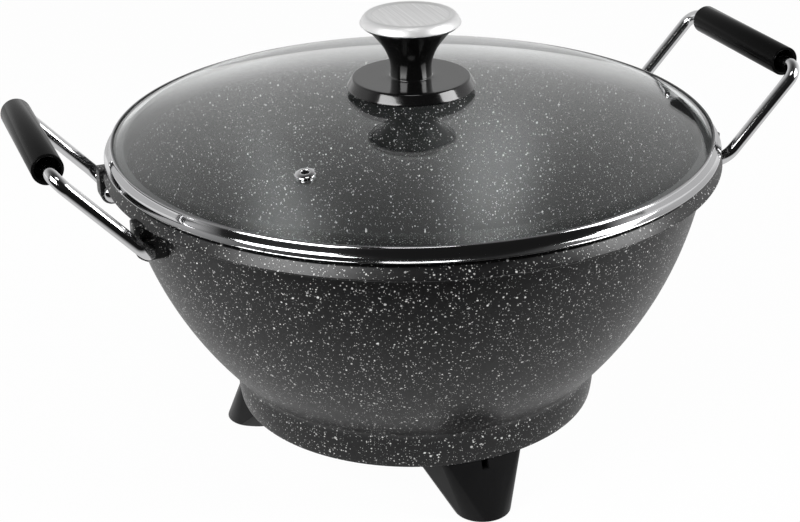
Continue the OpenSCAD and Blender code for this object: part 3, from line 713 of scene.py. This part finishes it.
def makeGlass():
    p = lid
    bendX, bendZ = polar(0, domeZ, p["domeR"] - p["bendR"], 90 - bendIn)
    under = p["domeR"] - p["thick"]
    hole = math.degrees(math.asin(4.2 / p["domeR"]))
    line = Outline(*polar(0, domeZ, p["domeR"], 90 - hole)).arc(0, domeZ, hole - bendIn, 48)
    line.arc(bendX, bendZ, bendIn - p["slope"], 12)
    line.to(polar(bendX, bendZ, p["bendR"] - p["thick"], 90 - p["slope"]))
    line.arc(bendX, bendZ, p["slope"] - bendIn, 12).arc(0, domeZ, bendIn - hole, 48).close()
    bm = soften(line.turned(256), 0.5, 40, 3)
    bm = cut(bm, put(rod(vent["neck"] + 0.25, 20, (0, 0, -10)), ventSeat()))
    piece("domeGlass", bm, glass, "lid", ["lid_glass"], 30)


def makeRim():
    p = lid
    inside = p["bandR"] - p["sheet"]
    shelf = p["edgeZ"] - p["thick"] * math.cos(math.radians(p["slope"])) - 0.05
    below = shelf - p["sheet"]
    line = Outline(169.75, 195.9).to((169.95, 196.3), (171.0, 196.1), (171.45, 195.65), (171.65, 195.1))
    line.to((171.9, 194.3), (172.35, 192.4), (172.75, 191.3), (173.05, 190.8), (174.7, 189.6), (174.95, 189.35))
    line.to((175, 189.2), (174.9, 189.05), (174.5, 189.0), (173.3, 189.2))
    line.to((inside + 0.2, below), (168.8, below), (168.8, bowl["seat"]), (167, bowl["seat"]), (167, below))
    line.to((p["skirtR"], below), (p["skirtR"] - 1, p["skirtLow"]), (p["skirtR"] - 1.9, p["skirtLow"]))
    line.to((p["skirtR"] - 0.9, shelf), (inside, shelf), (inside, p["edgeZ"] + 0.4)).close()
    bm = soften(line.turned(256), 0.2, 30, 2)
    seam = block((173.4, -0.4, 188), (177, 0.4, 195))
    bm = cut(bm, put(seam, Matrix.Rotation(math.radians(p["seamAngle"]), 4, "Z")))
    piece("steelRim", bm, rimSteel, "lid", ["lid_rim"], 35)


def makeVent():
    p = vent
    line = Outline(p["hole"], 1.3).to((p["hole"] + 0.3, 1.6), (p["hole"] + 1.2, 1.6), (p["outer"] - 0.6, 1.05))
    line.to((p["outer"], 0.5), (p["outer"], 0.25), (p["neck"], 0.2), (p["neck"], -4.3), (p["neck"] + 1.2, -4.4))
    line.to((p["neck"] + 1.2, -5.2), (p["hole"], -5.2)).close()
    bm = put(soften(line.turned(48), 0.15, 30, 2), ventSeat())
    piece("ventRing", bm, ventSteel, "lid", ["vent_grommet"], 35)


makeGlass()
makeRim()
makeVent()
print("lid ready")


# ---- knob ----

knobZ = crown + 0.8
knob = {"base": [(0, 0), (35.6, 0), (36.3, 0.15), (36.7, 0.6), (36.7, 1.1), (36.2, 1.9), (33.9, 5.6), (33.5, 6.1),
                 (33.0, 6.35), (32.2, 6.4), (12.3, 6.2), (11.9, 6.5), (11.75, 8), (11.6, 10.4),
                 (11.65, 12.8), (12.1, 15.8), (13.2, 19), (14.8, 22.6),
                 (17.3, 26.4), (20.4, 30.2), (23.1, 33.5), (24.4, 34.9), (25.6, 35.35), (26.8, 35.7), (27, 36.2),
                 (26.9, 37), (25.6, 37.2), (23.2, 40.3), (22.8, 40.7), (0, 40.7)],
        "cap": [(0, 41.75), (21.3, 41.75), (22.2, 41.85), (22.9, 42.2), (23.7, 42.45), (24.6, 42.45), (25.3, 42.2),
                (26.3, 41.4), (27.3, 40.1), (28.1, 38.7), (28.45, 37.9), (28.5, 37.4), (28.2, 37.1), (27.4, 37.15),
                (27.3, 37.5), (24, 41.0), (22.6, 40.9), (0, 40.85)]}


def rings(points):
    line = Outline(points[0][0], points[0][1] + knobZ)
    return line.to(*[(x, z + knobZ) for x, z in points[1:]]).turned(64)


piece("knobBody", rings(knob["base"]), knobPlastic, "lid", ["knob"], 60, 2)
piece("capPlate", soften(rings(knob["cap"]), 0.18, 18, 3), capSteel, "lid", ["knob_cap"], 40)
print("knob ready")


# ---- CAD nodes that stay get their finishes ----

kept = {"heating_element": sheathSteel, "terminal_pins": screwSteel, "terminal_insulators": ceramic,
        "probe_tube": plateSteel, "earth_contact": brass, "connector_shroud": shroudPlastic,
        "shroud_screws": screwSteel, "base_plate": plateSteel, "leg_screws": screwSteel,
        "knob_insert": brass, "knob_screw": screwSteel, "knob_washer": screwSteel,
        "knob_gasket": gasketRubber}
for nodeName, material in kept.items():
    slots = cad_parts[nodeName].data.materials
    if not slots:
        slots.append(material)
    for index in range(len(slots)):
        slots[index] = material
print("finishes ready")
